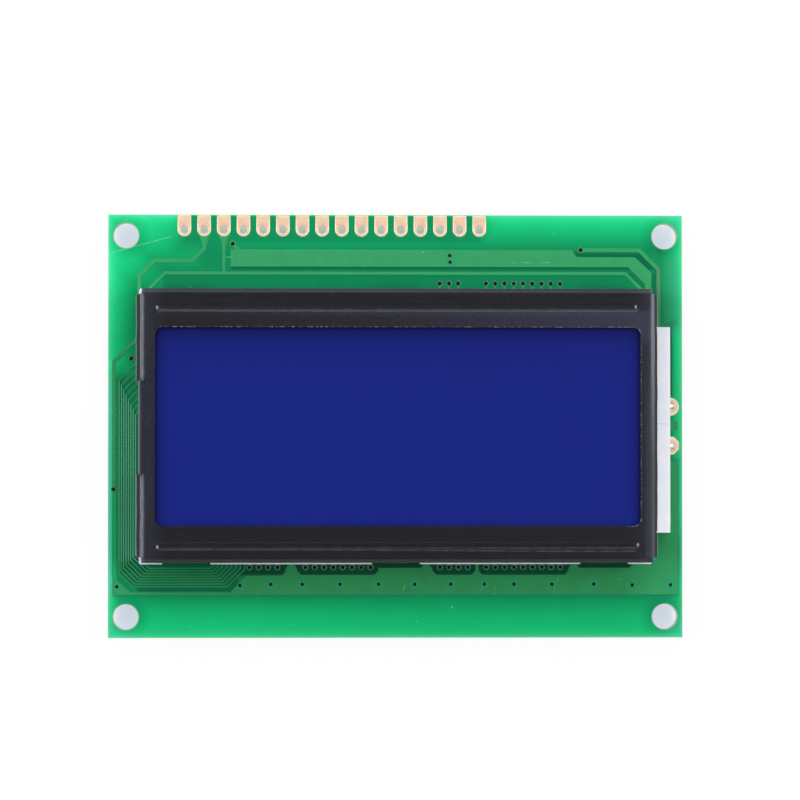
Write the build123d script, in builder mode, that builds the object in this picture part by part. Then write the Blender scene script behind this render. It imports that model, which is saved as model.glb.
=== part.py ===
"""Character LCD module: a display cell and its backlight held on a board by a stamped steel frame.

The module lies on its back. X runs along the board, Y towards the row of solder holes and +Z out
of the display. The origin is under the board's centre, at the tips of the frame's tongues.
"""

from build123d import *
from math import asin, cos, degrees, radians, sin
import os

os.makedirs("parts", exist_ok=True)

# Laminate board
board_t = 1.6
copper_t = 0.05
mount_span_x = 69.6
mount_span_y = 49.2
mount_inset_x = 2.3
mount_inset_y = 2.7
mount_hole_d = 3.25
board_x = mount_span_x + 2 * mount_inset_x
board_y = mount_span_y + 2 * mount_inset_y

# Row of solder holes along the board's upper edge
pin_count = 16
pin_pitch = 2.54
pin_row_x = -8.25
pin_row_inset = 1.92
pin_bore_d = 1.05
plating_t = 0.05
pad_w = 1.74
pad_edge_gap = 0.07
bore_sides = 12

# Two soldered leads of the backlight at the board's right edge
lead_stand = 0.52
lead_upper_y = 2.6
lead_lower_y = -2.55
lead_t = 0.4
lead_w = 0.5
lead_bore_d = 0.9
lead_rise = 1.6
lead_bend_r = 0.5
lead_tail = 1.0
lead_pad_inset = 0.2
lead_pad_shift = 0.06
round_pad_d = 2.36
octagon_pad_w = 2.32

# Stamped steel frame
frame_x = 65.2
frame_y = 35.0
sheet_t = 0.5
bend_r = 0.6
window_x = 61.8
window_y = 25.2
window_shift = -0.18
window_r = 1.0
bead_x = 61.9
bead_w = 1.05
bead_depth = 0.25
bead_span = 30.4
bead_shift = (0.08, -0.12)
bead_slope = 30
side_flange_y = 33.6
side_bend_inset = 0.42
side_lean_left = 7.5
side_lean_right = 9.5
side_gap_y = 11.9
side_gap_shift = -0.24
side_gap_lip = 0.82
flange_lift = 0.05

# Tongues of the frame: their shoulders stand on the board, and their tails are twisted below it
tongue_left_x = -27.0
tongue_middle_x = 0.0
tongue_right_x = 26.88
tongue_w = 3.0
tongue_tail = 2.2
tongue_twist = 42
tongue_twist_l = 1.3
shoulder_w = 6.0
slot_clearance = 0.2

# Moulded case of the backlight
foot_x = 66.18
foot_y = 35.52
foot_shift = -0.04
foot_t = 0.8
foot_corner_r = 0.3
case_x = 64.0
case_floor_t = 0.6
case_gap = 0.1
outer_wall_t = 0.7
inner_wall_t = 0.6
end_wall_t = 1.1
block_proud = 3.18
block_y = 26.45
block_shift = -0.5
block_h = 3.6
block_wall_t = 0.68

# Optical stack, from the case's floor up
reflector_t = 0.1
guide_t = 2.95
guide_gap = 0.2
diffuser_t = 0.2
polariser_t = 0.2
glass_t = 1.1
glass_inset = 0.1
rear_glass_y = 27.8
front_glass_y = 33.6
polariser_inset = 0.3

# Elastomer strips between the board's contact fingers and the front glass
strip_x = 59.0
strip_w = 2.0
strip_gap = 0.1
finger_pitch = 2.4
finger_count = 24
finger_w = 1.2

# Light source on its own narrow board inside the case's end block
lamp_count = 6
lamp_pitch = 4.0
lamp_w = 2.8
lamp_h = 1.4
lamp_depth = 1.2
lamp_gap = 0.1
lamp_board_t = 0.6

# Heights that follow from the sizes above
board_bottom = tongue_tail
board_top = board_bottom + board_t
seat = board_top + copper_t
floor_top = seat + case_floor_t
guide_bottom = floor_top + reflector_t
guide_top = guide_bottom + guide_t
rear_polariser_bottom = guide_top + diffuser_t
rear_glass_bottom = rear_polariser_bottom + polariser_t
front_glass_bottom = rear_glass_bottom + glass_t
front_glass_top = front_glass_bottom + glass_t
plate_bottom = front_glass_top + bead_depth
plate_top = plate_bottom + sheet_t
flange_bottom = seat + foot_t + flange_lift

# Places that several pieces share
pin_row_y = board_y / 2 - pin_row_inset
pin_first_x = pin_row_x - (pin_count - 1) * pin_pitch / 2
tongue_y = frame_y / 2 - sheet_t / 2
tongue_xs = [tongue_left_x, tongue_middle_x, tongue_right_x]
tongue_seats = [(x, side * tongue_y) for side in (1, -1) for x in tongue_xs]
block_reach = case_x / 2 + block_proud
lead_x = block_reach + lead_stand
lead_pad_x = lead_x - lead_pad_inset
lead_seats = [(lead_x, lead_upper_y), (lead_x, lead_lower_y)]
case_y = frame_y - 2 * sheet_t - 2 * case_gap
strip_y = case_y / 2 - outer_wall_t - strip_gap - strip_w / 2
rail_y = strip_y - strip_w / 2 - strip_gap
well_x = case_x - 2 * end_wall_t
well_y = 2 * (rail_y - inner_wall_t)
block_inner_x = block_reach - block_wall_t
chamber_y = block_y - 2 * block_wall_t
chamber_top = seat + block_h - block_wall_t
lamp_board_x = block_inner_x - lamp_board_t
lamp_front_x = lamp_board_x - lamp_depth
lamp_middle_z = (floor_top + chamber_top) / 2


def small_bore(radius, mode=Mode.ADD):
    """Outline of a small plated hole or its pad: a circle in few flats, with one towards each side."""
    return RegularPolygon(radius, bore_sides, major_radius=False, rotation=180 / bore_sides, mode=mode)


# Laminate board with its holes: fixing holes, solder holes, slots for the tongues and lead holes
with BuildPart() as pcb:
    with BuildSketch(Plane.XY.offset(board_bottom)):
        Rectangle(board_x, board_y)
        with GridLocations(mount_span_x, mount_span_y, 2, 2):
            Circle(mount_hole_d / 2, mode=Mode.SUBTRACT)
        with Locations((pin_row_x, pin_row_y)):
            with GridLocations(pin_pitch, pin_pitch, pin_count, 1):
                small_bore(pin_bore_d / 2 + plating_t, mode=Mode.SUBTRACT)
        with Locations(*tongue_seats):
            Rectangle(tongue_w + 2 * slot_clearance, sheet_t + 2 * slot_clearance, mode=Mode.SUBTRACT)
        with Locations(*lead_seats):
            small_bore(lead_bore_d / 2 + plating_t, mode=Mode.SUBTRACT)
    extrude(amount=board_t)
pcb.part.label = "pcb"

# Plated solder holes: a pad on each face, joined by the plating in the hole
pad_reach = pin_row_inset - pad_edge_gap
with BuildPart() as header_pads:
    for face_height, thickness in [(board_top, copper_t), (board_bottom, -copper_t)]:
        with BuildSketch(Plane.XY.offset(face_height)):
            with Locations((pin_row_x, pin_row_y)):
                with GridLocations(pin_pitch, pin_pitch, pin_count, 1):
                    small_bore(pad_w / 2)
                    Rectangle(pad_w, pad_reach, align=(Align.CENTER, Align.MIN))
                    small_bore(pin_bore_d / 2, mode=Mode.SUBTRACT)
        extrude(amount=thickness)
    with BuildSketch(Plane.XY.offset(board_bottom)):
        with Locations((pin_row_x, pin_row_y)):
            with GridLocations(pin_pitch, pin_pitch, pin_count, 1):
                small_bore(pin_bore_d / 2 + plating_t)
                small_bore(pin_bore_d / 2, mode=Mode.SUBTRACT)
    extrude(amount=board_t)
header_pads.part.label = "header_pads"

# Plated lead holes: the upper pad is round, the lower one eight-sided
with BuildPart() as backlight_pads:
    for face_height, thickness in [(board_top, copper_t), (board_bottom, -copper_t)]:
        with BuildSketch(Plane.XY.offset(face_height)):
            with Locations((lead_pad_x, lead_upper_y - lead_pad_shift)):
                Circle(round_pad_d / 2)
            with Locations((lead_pad_x, lead_lower_y + lead_pad_shift)):
                RegularPolygon(octagon_pad_w / 2, 8, major_radius=False, rotation=22.5)
            with Locations(*lead_seats):
                small_bore(lead_bore_d / 2, mode=Mode.SUBTRACT)
        extrude(amount=thickness)
    with BuildSketch(Plane.XY.offset(board_bottom)):
        with Locations(*lead_seats):
            small_bore(lead_bore_d / 2 + plating_t)
            small_bore(lead_bore_d / 2, mode=Mode.SUBTRACT)
    extrude(amount=board_t)
backlight_pads.part.label = "backlight_pads"

# Etched copper on the front: supply tracks round the frame
feed_w = 0.52
rail_w = 0.4
return_w = 0.5
link_w = 0.45
under_frame_y = 16.4
pad_foot_y = pin_row_y - pad_w / 2
feed_pad_x = pin_first_x + pin_pitch
rail_pad_x = pin_first_x + 2 * pin_pitch
feed_points = [
    (feed_pad_x, pad_foot_y), (feed_pad_x, 22.93), (-26.25, 21.37), (-31.17, 21.37),
    (-33.12, 19.42), (-33.12, under_frame_y),
]
rail_height = 19.77
rail_points = [(-33.0, 16.6), (-29.83, rail_height), (29.75, rail_height), (32.9, 16.62)]
rail_drop_points = [(rail_pad_x, pad_foot_y), (rail_pad_x, rail_height)]
return_points = [(23.93, 22.8), (31.54, 22.8), (34.04, 20.3), (34.04, 11.9)]
link_points = [(-32.3, 12.38), (-36.36, 8.32), (-36.36, -8.15)]
supply_outline = [
    (-21.37, 22.85), (22.9, 22.82), (22.95, 22.5), (23.47, 21.92), (30.97, 21.9), (33.12, 19.92),
    (33.12, under_frame_y), (32.3, under_frame_y), (32.28, 18.4), (30.06, 20.61), (-21.37, 20.61),
]

# Bundle of eight signal tracks round the lower left corner: each next one lies further in
bundle_count = 8
bundle_w = 0.15
bundle_left_x = -35.68
bundle_left_step = 0.302
bundle_top_y = 5.95
bundle_top_step = 0.64
bundle_turn_y = -18.98
bundle_turn_step = 0.345
bundle_run_y = -20.69
bundle_run_step = 0.34
bundle_right_x = -19.46
bundle_right_step = 0.579
bundle_rise_y = -18.41
bundle_rise_step = 0.065
bundle_end_x = -32.3

# Ground plane: its upper edge dips round the through-holes beside the frame
plane_left_x = -36.52
plane_right_x = 36.52
plane_bottom_y = -21.75
plane_dip_y = -19.19
plane_crest_y = -18.28
plane_outline = [
    (plane_left_x, plane_bottom_y), (plane_right_x, plane_bottom_y), (plane_right_x, -4.47),
    (31.2, -4.47), (31.2, -17.4), (30.59, -17.9), (30.21, plane_crest_y), (23.68, plane_crest_y),
    (23.36, -17.86), (22.72, -17.88), (22.38, -18.22), (22.22, -18.74), (21.86, plane_dip_y),
    (11.19, plane_dip_y), (10.7, -18.65), (10.7, -17.0), (10.27, -17.0), (10.27, -18.68),
    (9.72, plane_dip_y), (5.24, plane_dip_y), (4.78, -18.7), (4.7, -18.34), (4.25, -17.86),
    (3.66, -17.86), (3.28, plane_crest_y), (-2.25, plane_crest_y), (-2.31, -18.73),
    (-2.79, plane_dip_y), (-12.17, plane_dip_y), (-12.73, -18.62), (-12.87, -18.16),
    (-13.14, -17.8), (-13.8, -17.8), (-14.05, -18.14), (-14.27, -18.46), (-14.27, -18.78),
    (-14.71, plane_dip_y - 0.04), (-19.34, plane_dip_y - 0.08), (-21.36, -21.4), (-34.25, -21.4),
    (plane_left_x, -19.3),
]
patch_x = 3.2
patch_y = 1.12
patch_middle_y = 0.06

# Through-holes between the copper of the two faces, covered with solder mask
via_w = 0.68
via_pitch = 1.2
lower_via_y = -18.2
upper_via_y = 18.45
lower_via_firsts = [-18.87, -11.67, 5.7, 11.67]
lower_via_counts = [4, 8, 4, 9]
upper_via_firsts = [5.67, 11.66]
upper_via_counts = [3, 9]
single_vias = [(-21.06, 23.56), (23.93, 22.8), (-36.36, -8.15), (-34.09, 8.72)]
edge_track_x = -36.52
lower_via_rows = [
    [(first + i * via_pitch, lower_via_y) for i in range(count)]
    for first, count in zip(lower_via_firsts, lower_via_counts)
]
upper_via_rows = [
    [(first + i * via_pitch, upper_via_y) for i in range(count)]
    for first, count in zip(upper_via_firsts, upper_via_counts)
]
row_vias = [via for row in lower_via_rows + upper_via_rows for via in row]

# The two supply tracks widen where they leave their solder holes
flare_w = 1.22
flare_l = 0.9

with BuildPart() as front_copper:
    with BuildSketch(Plane.XY.offset(board_top)):
        for width, points in [
            (feed_w, feed_points),
            (rail_w, rail_points),
            (rail_w, rail_drop_points),
            (return_w, return_points),
            (link_w, link_points),
            (link_w, [single_vias[0], (-20.35, supply_outline[0][1])]),
            (bundle_w, [single_vias[3], (-33.65, 9.16)]),
            (bundle_w, [(edge_track_x, single_vias[2][1]), (edge_track_x, plane_outline[-1][1])]),
        ]:
            with BuildLine():
                Polyline(*points)
            trace(line_width=width)
        for i in range(bundle_count):
            left_x = bundle_left_x + i * bundle_left_step
            top_y = bundle_top_y - i * bundle_top_step
            turn_y = bundle_turn_y + i * bundle_turn_step
            run_y = bundle_run_y + i * bundle_run_step
            right_x = bundle_right_x - i * bundle_right_step
            rise_y = bundle_rise_y + i * bundle_rise_step
            with BuildLine():
                Polyline(
                    (bundle_end_x, top_y + bundle_end_x - left_x),
                    (left_x, top_y),
                    (left_x, turn_y),
                    (left_x + turn_y - run_y, run_y),
                    (right_x - rise_y + run_y, run_y),
                    (right_x, rise_y),
                    (right_x, -under_frame_y),
                )
            trace(line_width=bundle_w)
        for outline in (supply_outline, plane_outline):
            with BuildLine():
                Polyline(*outline, close=True)
            make_face()
        with Locations((plane_right_x - patch_x / 2, patch_middle_y)):
            Rectangle(patch_x, patch_y)
        for flare_x, track_w in [(feed_pad_x, feed_w), (rail_pad_x, rail_w)]:
            with BuildLine():
                Polyline(
                    (flare_x - flare_w / 2, pad_foot_y),
                    (flare_x + flare_w / 2, pad_foot_y),
                    (flare_x + track_w / 2, pad_foot_y - flare_l),
                    (flare_x - track_w / 2, pad_foot_y - flare_l),
                    close=True,
                )
            make_face()
        with Locations(*(row_vias + single_vias)):
            RegularPolygon(via_w / 2, 8, major_radius=False, rotation=22.5)
    extrude(amount=copper_t)
front_copper.part.label = "front_copper"

# Contact fingers under the two elastomer strips
with BuildPart() as contact_fingers:
    with BuildSketch(Plane.XY.offset(board_top)):
        with GridLocations(finger_pitch, 2 * strip_y, finger_count, 2):
            Rectangle(finger_w, strip_w)
    extrude(amount=copper_t)
contact_fingers.part.label = "contact_fingers"

# Frame: one steel sheet, stamped and bent. The section across it gives the plate with both long
# flanges. The side flanges lean outwards and are bent on between the corner notches.
half_x = frame_x / 2
side_bend_x = half_x - side_bend_inset
gap_low_y = side_gap_shift - side_gap_y / 2
gap_high_y = side_gap_shift + side_gap_y / 2
block_low_y = block_shift - block_y / 2 - 2 * case_gap
block_high_y = block_shift + block_y / 2 + 2 * case_gap
block_clear_z = seat + block_h + case_gap
side_stretches = [
    (-1, side_lean_left, -side_flange_y / 2, gap_low_y, flange_bottom),
    (-1, side_lean_left, gap_high_y, side_flange_y / 2, flange_bottom),
    (1, side_lean_right, -side_flange_y / 2, block_low_y, flange_bottom),
    (1, side_lean_right, block_low_y, block_high_y, block_clear_z),
    (1, side_lean_right, block_high_y, side_flange_y / 2, flange_bottom),
]

with BuildPart() as bezel:
    with BuildSketch(Plane.YZ):
        with Locations((0, (plate_top + flange_bottom) / 2)):
            outer = Rectangle(frame_y, plate_top - flange_bottom)
        fillet(outer.vertices().group_by(Axis.Y)[-1], bend_r)
        with Locations((0, (plate_bottom + flange_bottom) / 2)):
            inner = Rectangle(frame_y - 2 * sheet_t, plate_bottom - flange_bottom, mode=Mode.SUBTRACT)
    extrude(amount=half_x, both=True)
    for side in (1, -1):
        with BuildSketch(Plane.XY.offset(flange_bottom)):
            with Locations((side * half_x, 0)):
                Rectangle(2 * side_bend_inset, side_flange_y)
        extrude(until=Until.LAST, mode=Mode.SUBTRACT)
    for side, lean, low_y, high_y, bottom_z in side_stretches:
        turn = 90 - lean
        centre = Vector(side * side_bend_x, plate_top - bend_r)
        normal = Vector(side * cos(radians(lean)), sin(radians(lean)))
        along = Vector(side * sin(radians(lean)), -cos(radians(lean)))
        outer_end = centre + normal * bend_r
        inner_end = centre + normal * (bend_r - sheet_t)
        run = (inner_end.Y - bottom_z) / cos(radians(lean))
        with BuildSketch(Plane.XZ.offset(-high_y)):
            with BuildLine():
                CenterArc((centre.X, centre.Y), bend_r, 90, -side * turn)
                Line(outer_end, outer_end + along * run)
                Line(outer_end + along * run, inner_end + along * run)
                Line(inner_end + along * run, inner_end)
                CenterArc((centre.X, centre.Y), bend_r - sheet_t, 90, -side * turn)
                Line((centre.X, plate_bottom), (centre.X, plate_top))
            make_face()
        extrude(amount=high_y - low_y)
    with BuildSketch(Plane.XY.offset(plate_bottom)):
        with Locations((-side_bend_x, side_gap_shift)):
            Rectangle(side_bend_inset + side_gap_lip, side_gap_y, align=(Align.MAX, Align.CENTER))
    extrude(amount=sheet_t)
    with BuildSketch(Plane.XY.offset(plate_bottom)):
        with Locations(bead_shift):
            with GridLocations(bead_x, bead_span, 1, 2):
                SlotOverall(bead_x, bead_w)
    extrude(amount=-bead_depth, taper=bead_slope / 2)
    with BuildSketch(Plane.XY.offset(plate_top)):
        with Locations(bead_shift):
            with GridLocations(bead_x, bead_span, 1, 2):
                SlotOverall(bead_x, bead_w)
    extrude(amount=-bead_depth, taper=bead_slope, mode=Mode.SUBTRACT)
    with BuildSketch(Plane.XY.offset(plate_bottom)):
        with Locations((0, window_shift)):
            RectangleRounded(window_x, window_y, window_r)
    extrude(amount=sheet_t, mode=Mode.SUBTRACT)
    with BuildSketch(Plane.XY.offset(seat)):
        with Locations(*tongue_seats):
            Rectangle(shoulder_w, sheet_t)
    extrude(amount=flange_bottom - seat)
    with BuildSketch(Plane.XY.offset(board_bottom)):
        with Locations(*tongue_seats):
            Rectangle(tongue_w, sheet_t)
    extrude(amount=seat - board_bottom)
    turned_way = (cos(radians(tongue_twist)), sin(radians(tongue_twist)), 0)
    for seat_x, seat_y in tongue_seats:
        turned = Plane((seat_x, seat_y, board_bottom - tongue_twist_l), x_dir=turned_way)
        for level in (Plane((seat_x, seat_y, board_bottom)), turned):
            with BuildSketch(level):
                Rectangle(tongue_w, sheet_t)
        loft(ruled=True)
        with BuildSketch(turned):
            Rectangle(tongue_w, sheet_t)
        extrude(amount=tongue_twist_l - tongue_tail)
bezel.part.label = "bezel"

# White moulded case: foot, tray, slots for the strips and an end block round the light source
with BuildPart() as backlight_case:
    with BuildSketch(Plane.XY.offset(seat)):
        with Locations((0, foot_shift)):
            RectangleRounded(foot_x, foot_y, foot_corner_r)
        with Locations(*tongue_seats):
            Rectangle(shoulder_w + 2 * case_gap, foot_y - case_y, mode=Mode.SUBTRACT)
    extrude(amount=foot_t)
    with BuildSketch(Plane.XY.offset(seat)):
        Rectangle(case_x, case_y)
    extrude(amount=front_glass_bottom - seat)
    with BuildSketch(Plane.XY.offset(seat)):
        with Locations((block_reach, block_shift)):
            Rectangle(block_reach - well_x / 2, block_y, align=(Align.MAX, Align.CENTER))
    extrude(amount=block_h)
    with BuildSketch(Plane.XY.offset(rear_glass_bottom)):
        Rectangle(case_x, 2 * rail_y)
    extrude(amount=glass_t, mode=Mode.SUBTRACT)
    with BuildSketch(Plane.XY.offset(floor_top)):
        Rectangle(well_x, well_y)
    extrude(amount=rear_glass_bottom - floor_top, mode=Mode.SUBTRACT)
    with BuildSketch(Plane.XY.offset(floor_top)):
        with Locations((block_inner_x, block_shift)):
            Rectangle(block_inner_x - well_x / 2 + end_wall_t, chamber_y, align=(Align.MAX, Align.CENTER))
    extrude(amount=chamber_top - floor_top, mode=Mode.SUBTRACT)
    with BuildSketch(Plane.XY.offset(seat)):
        with GridLocations(strip_x, 2 * strip_y, 1, 2):
            Rectangle(strip_x + 2 * strip_gap, strip_w + 2 * strip_gap)
    extrude(amount=front_glass_bottom - seat, mode=Mode.SUBTRACT)
    with BuildSketch(Plane.YZ.offset(block_inner_x)):
        with Locations((lead_upper_y, seat + lead_rise), (lead_lower_y, seat + lead_rise)):
            Rectangle(lead_w + 2 * case_gap, lead_t + 2 * case_gap)
    extrude(amount=block_wall_t, mode=Mode.SUBTRACT)
backlight_case.part.label = "backlight_case"

# Elastomer strips, squeezed between the contact fingers and the overhang of the front glass
strip_parts = {}
for name, side in [("elastomer_strip_upper", 1), ("elastomer_strip_lower", -1)]:
    with BuildPart() as strip:
        with BuildSketch(Plane.XY.offset(seat)):
            with Locations((0, side * strip_y)):
                Rectangle(strip_x, strip_w)
        extrude(amount=front_glass_bottom - seat)
    strip.part.label = name
    strip_parts[name] = strip.part

# Flat sheets of the optical stack
sheet_x = well_x - 2 * guide_gap
sheet_y = well_y - 2 * guide_gap
glass_x = case_x - 2 * glass_inset
stack = {}
for name, bottom, thickness, size_x, size_y in [
    ("reflector_sheet", floor_top, reflector_t, sheet_x, sheet_y),
    ("diffuser_sheet", guide_top, diffuser_t, sheet_x, sheet_y),
    ("rear_polariser", rear_polariser_bottom, polariser_t, sheet_x, sheet_y),
    ("rear_glass", rear_glass_bottom, glass_t, glass_x, rear_glass_y),
    ("front_glass", front_glass_bottom, glass_t, glass_x, front_glass_y),
    ("front_polariser", front_glass_top, polariser_t, glass_x - 2 * polariser_inset, rear_glass_y),
]:
    with BuildPart() as layer:
        with BuildSketch(Plane.XY.offset(bottom)):
            Rectangle(size_x, size_y)
        extrude(amount=thickness)
    layer.part.label = name
    stack[name] = layer.part

# Acrylic light guide: its neck reaches through the case's end wall towards the lamps
with BuildPart() as light_guide:
    with BuildSketch(Plane.XY.offset(guide_bottom)):
        Rectangle(sheet_x, sheet_y)
    extrude(amount=guide_t)
    with BuildSketch(Plane.XY.offset(guide_bottom)):
        with Locations((lamp_front_x - lamp_gap, block_shift)):
            Rectangle(lamp_front_x - lamp_gap, chamber_y - 2 * guide_gap, align=(Align.MAX, Align.CENTER))
    extrude(amount=chamber_top - guide_gap - guide_bottom)
light_guide.part.label = "light_guide"

# Narrow board with the lamps, standing against the end wall of the case
with BuildPart() as lamp_board:
    with BuildSketch(Plane.XY.offset(floor_top)):
        with Locations((block_inner_x, block_shift)):
            Rectangle(lamp_board_t, chamber_y - 2 * guide_gap, align=(Align.MAX, Align.CENTER))
    extrude(amount=chamber_top - guide_gap - floor_top)
lamp_board.part.label = "lamp_board"

with BuildPart() as lamps:
    with BuildSketch(Plane.YZ.offset(lamp_front_x)):
        with Locations((block_shift, lamp_middle_z)):
            with GridLocations(lamp_pitch, lamp_h, lamp_count, 1):
                Rectangle(lamp_w, lamp_h)
    extrude(amount=lamp_depth)
lamps.part.label = "lamps"

# Bent leads from the lamp board through the case's end wall down into the board
with BuildPart() as backlight_leads:
    for _, lead_y in lead_seats:
        with BuildSketch(Plane.XZ.offset(-lead_y - lead_w / 2)):
            with BuildLine():
                FilletPolyline(
                    (block_inner_x, seat + lead_rise),
                    (lead_x, seat + lead_rise),
                    (lead_x, board_bottom - lead_tail),
                    radius=lead_bend_r,
                )
            trace(line_width=lead_t)
        extrude(amount=lead_w)
backlight_leads.part.label = "backlight_leads"

# Solder round the leads: it fills the plated holes and rises in a cone on both faces
solder_rise = 0.35
solder_drop = 0.85
solder_foot_r = 0.8
solder_collar_r = 0.48
solder_rise_slope = 22
solder_drop_slope = 28
with BuildPart() as backlight_solder:
    with BuildSketch(Plane.XY.offset(board_bottom - copper_t)):
        with Locations(*lead_seats):
            small_bore(lead_bore_d / 2)
    extrude(amount=board_t + 2 * copper_t)
    with BuildSketch(Plane.XY.offset(seat)):
        with Locations(*lead_seats):
            small_bore(solder_collar_r)
    extrude(amount=solder_rise, taper=solder_rise_slope)
    with BuildSketch(Plane.XY.offset(board_bottom - copper_t)):
        with Locations(*lead_seats):
            small_bore(solder_foot_r)
    extrude(amount=-solder_drop, taper=solder_drop_slope)
    add(backlight_leads.part, mode=Mode.SUBTRACT)
backlight_solder.part.label = "backlight_solder"

# Drops of black epoxy over the bare chips on the rear
controller_r = 7.6
controller_h = 1.6
driver_r = 6.4
driver_h = 1.45
drop_rim_w = 0.5
drop_rim_h = 0.45
controller_place = (-17.5, 2.5)
driver_places = [(3.0, -3.0), (22.0, 2.0)]
drops = {}
for name, radius, drop_h, places in [
    ("controller_drop", controller_r, controller_h, [controller_place]),
    ("driver_drops", driver_r, driver_h, driver_places),
]:
    with BuildPart() as drop:
        rim_r = radius - drop_rim_w
        crown_h = drop_h - drop_rim_h
        crown_r = (rim_r**2 + crown_h**2) / (2 * crown_h)
        crown_z = board_bottom - drop_h + crown_r
        crown_turn = degrees(asin(rim_r / crown_r))
        for place_x, place_y in places:
            with BuildSketch(Plane.XZ.offset(-place_y)):
                with BuildLine():
                    CenterArc((place_x, crown_z), crown_r, 270, crown_turn)
                    Polyline(
                        (place_x + rim_r, board_bottom - drop_rim_h),
                        (place_x + radius, board_bottom),
                        (place_x, board_bottom),
                        (place_x, board_bottom - drop_h),
                    )
                make_face()
            revolve(axis=Axis((place_x, place_y, 0), (0, 0, 1)))
    drop.part.label = name
    drops[name] = drop.part

# Chip resistors and capacitors on the rear: a body between two soldered end caps
chip_l = 2.0
chip_w = 1.25
chip_end = 0.35
resistor_h = 0.5
capacitor_h = 0.9
chip_row_count = 5
chip_row_x = -33.5
chip_row_y = -12.0
chip_row_pitch = 3.2
side_chip_x = 31.5
side_chip_y = 8.5
side_chip_pitch = 3.0
resistor_places = [(chip_row_x + chip_row_pitch * i, chip_row_y) for i in range(chip_row_count)]
resistor_places += [(side_chip_x, side_chip_y - side_chip_pitch * i) for i in range(2)]
capacitor_places = [(-7.0, 11.5), (10.2, 11.5), (side_chip_x, -side_chip_y)]
with BuildPart() as chip_resistors:
    with BuildSketch(Plane.XY.offset(board_bottom - copper_t)):
        with Locations(*resistor_places):
            Rectangle(chip_l - 2 * chip_end, chip_w)
    extrude(amount=-resistor_h)
chip_resistors.part.label = "chip_resistors"

with BuildPart() as chip_capacitors:
    with BuildSketch(Plane.XY.offset(board_bottom - copper_t)):
        with Locations(*capacitor_places):
            Rectangle(chip_l - 2 * chip_end, chip_w)
    extrude(amount=-capacitor_h)
chip_capacitors.part.label = "chip_capacitors"

with BuildPart() as chip_ends:
    for places, chip_h in [(resistor_places, resistor_h), (capacitor_places, capacitor_h)]:
        with BuildSketch(Plane.XY.offset(board_bottom - copper_t)):
            with Locations(*places):
                with GridLocations(chip_l - chip_end, chip_w, 2, 1):
                    Rectangle(chip_end, chip_w)
        extrude(amount=-chip_h)
chip_ends.part.label = "chip_ends"

# Etched copper on the rear: lands under the chip parts, tracks from the solder holes to the
# controller, a bus from drop to drop, and tracks from the drops to the through-holes
rear_w = 0.25
signal_first = 3
signal_count = 11
signal_top_y = 23.5
signal_step = 0.42
signal_pitch = 1.0
signal_bend = 0.4
bus_count = 6
bus_pitch = 0.7
bus_y = -0.5
fan_pitch = 0.8
fan_bend_y = 15.5
controller_vias, middle_vias, lower_straight_vias, lower_right_vias = lower_via_rows
upper_straight_vias, upper_right_vias = upper_via_rows
signal_tracks = []
for i in range(signal_count):
    hole_x = pin_first_x + (signal_first + i) * pin_pitch
    level_y = signal_top_y - i * signal_step
    end_x = controller_place[0] + (i - (signal_count - 1) / 2) * signal_pitch
    signal_tracks.append([
        (hole_x, pin_row_y), (hole_x, level_y + signal_bend), (hole_x - signal_bend, level_y),
        (end_x + signal_bend, level_y), (end_x, level_y - signal_bend), (end_x, controller_place[1]),
    ])
fan_tracks = [[(x, y), (x, controller_place[1])] for x, y in controller_vias]
fan_tracks += [[(x, y), (x, driver_places[0][1])] for x, y in lower_straight_vias + upper_straight_vias]
for vias, (drop_x, drop_y), bend_y in [
    (middle_vias, driver_places[0], -fan_bend_y),
    (lower_right_vias, driver_places[1], -fan_bend_y),
    (upper_right_vias, driver_places[1], fan_bend_y),
]:
    for i, (x, y) in enumerate(vias):
        end_x = drop_x + (i - (len(vias) - 1) / 2) * fan_pitch
        end_y = bend_y + (end_x - x) * (1 if y < 0 else -1)
        fan_tracks.append([(x, y), (x, bend_y), (end_x, end_y), (end_x, drop_y)])

with BuildPart() as rear_copper:
    with BuildSketch(Plane.XY.offset(board_bottom)):
        for points in signal_tracks + fan_tracks:
            with BuildLine():
                Polyline(*points)
            trace(line_width=rear_w)
        with Locations(((controller_place[0] + driver_places[1][0]) / 2, bus_y)):
            with GridLocations(bus_pitch, bus_pitch, 1, bus_count):
                Rectangle(driver_places[1][0] - controller_place[0], rear_w)
        with Locations(controller_place):
            Circle(controller_r, mode=Mode.SUBTRACT)
        with Locations(*driver_places):
            Circle(driver_r, mode=Mode.SUBTRACT)
        with Locations(*row_vias):
            Rectangle(via_w, via_w)
        with Locations(*(resistor_places + capacitor_places)):
            with GridLocations(chip_l - chip_end, chip_w, 2, 1):
                Rectangle(2 * chip_end, chip_w + chip_end)
        with Locations((pin_row_x, pin_row_y)):
            with GridLocations(pin_pitch, pin_pitch, pin_count, 1):
                small_bore(pad_w / 2, mode=Mode.SUBTRACT)
    extrude(amount=-copper_t)
rear_copper.part.label = "rear_copper"

for piece in [
    pcb.part, header_pads.part, backlight_pads.part, front_copper.part, contact_fingers.part,
    rear_copper.part, bezel.part, backlight_case.part, *strip_parts.values(), *stack.values(),
    light_guide.part, lamp_board.part, lamps.part, backlight_leads.part, backlight_solder.part,
    *drops.values(), chip_resistors.part, chip_capacitors.part, chip_ends.part,
]:
    export_step(piece, "parts/" + piece.label + ".step")
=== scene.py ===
"""Looks of a character LCD module, from the bare board up to the stamped frame that holds it together."""

import bmesh
import bpy
import numpy as np
from mathutils import Matrix, Vector


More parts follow.
